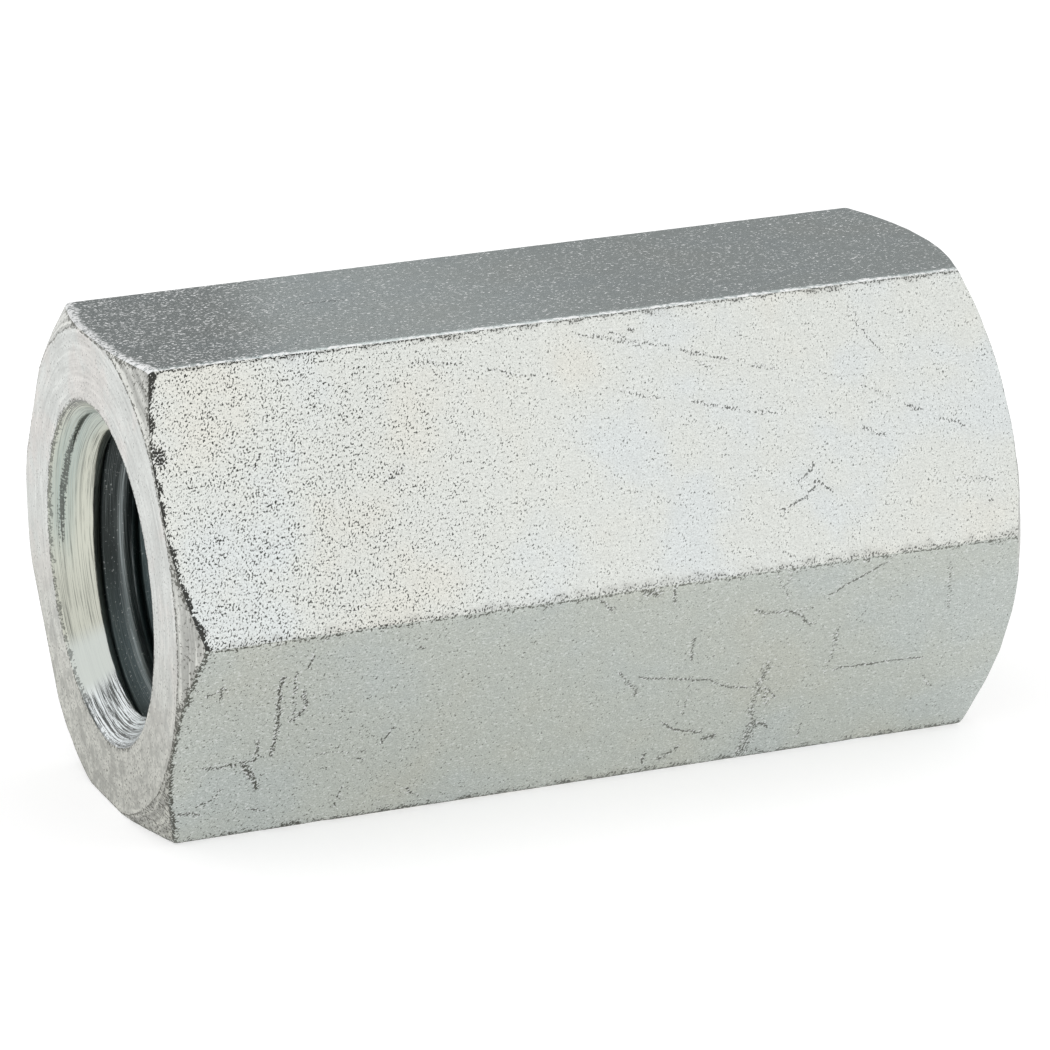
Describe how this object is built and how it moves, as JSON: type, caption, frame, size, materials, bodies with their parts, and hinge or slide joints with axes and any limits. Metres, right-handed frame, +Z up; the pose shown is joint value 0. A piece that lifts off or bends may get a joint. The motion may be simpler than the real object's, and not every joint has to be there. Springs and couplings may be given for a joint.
{
  "type": "coupling nut",
  "caption": "Long hexagonal coupling nut with a right-hand thread right through, countersunk at both ends, that joins two threaded rods end to end.",
  "frame": {"origin": "middle of the bore: on the thread's axis, halfway between the end faces", "axes": "+X along the bore, +Z up out of a flat, with the flat opposite underneath and two long edges at +Y and -Y"},
  "size_m": [0.044, 0.0276, 0.024],
  "materials": {
    "zinc_plate": "bright zinc plating over drawn and turned steel, worn, pitted and a little dirty"
  },
  "bodies": {
    "root": {"coupling_nut": "zinc_plate"}
  },
  "joints": []
}
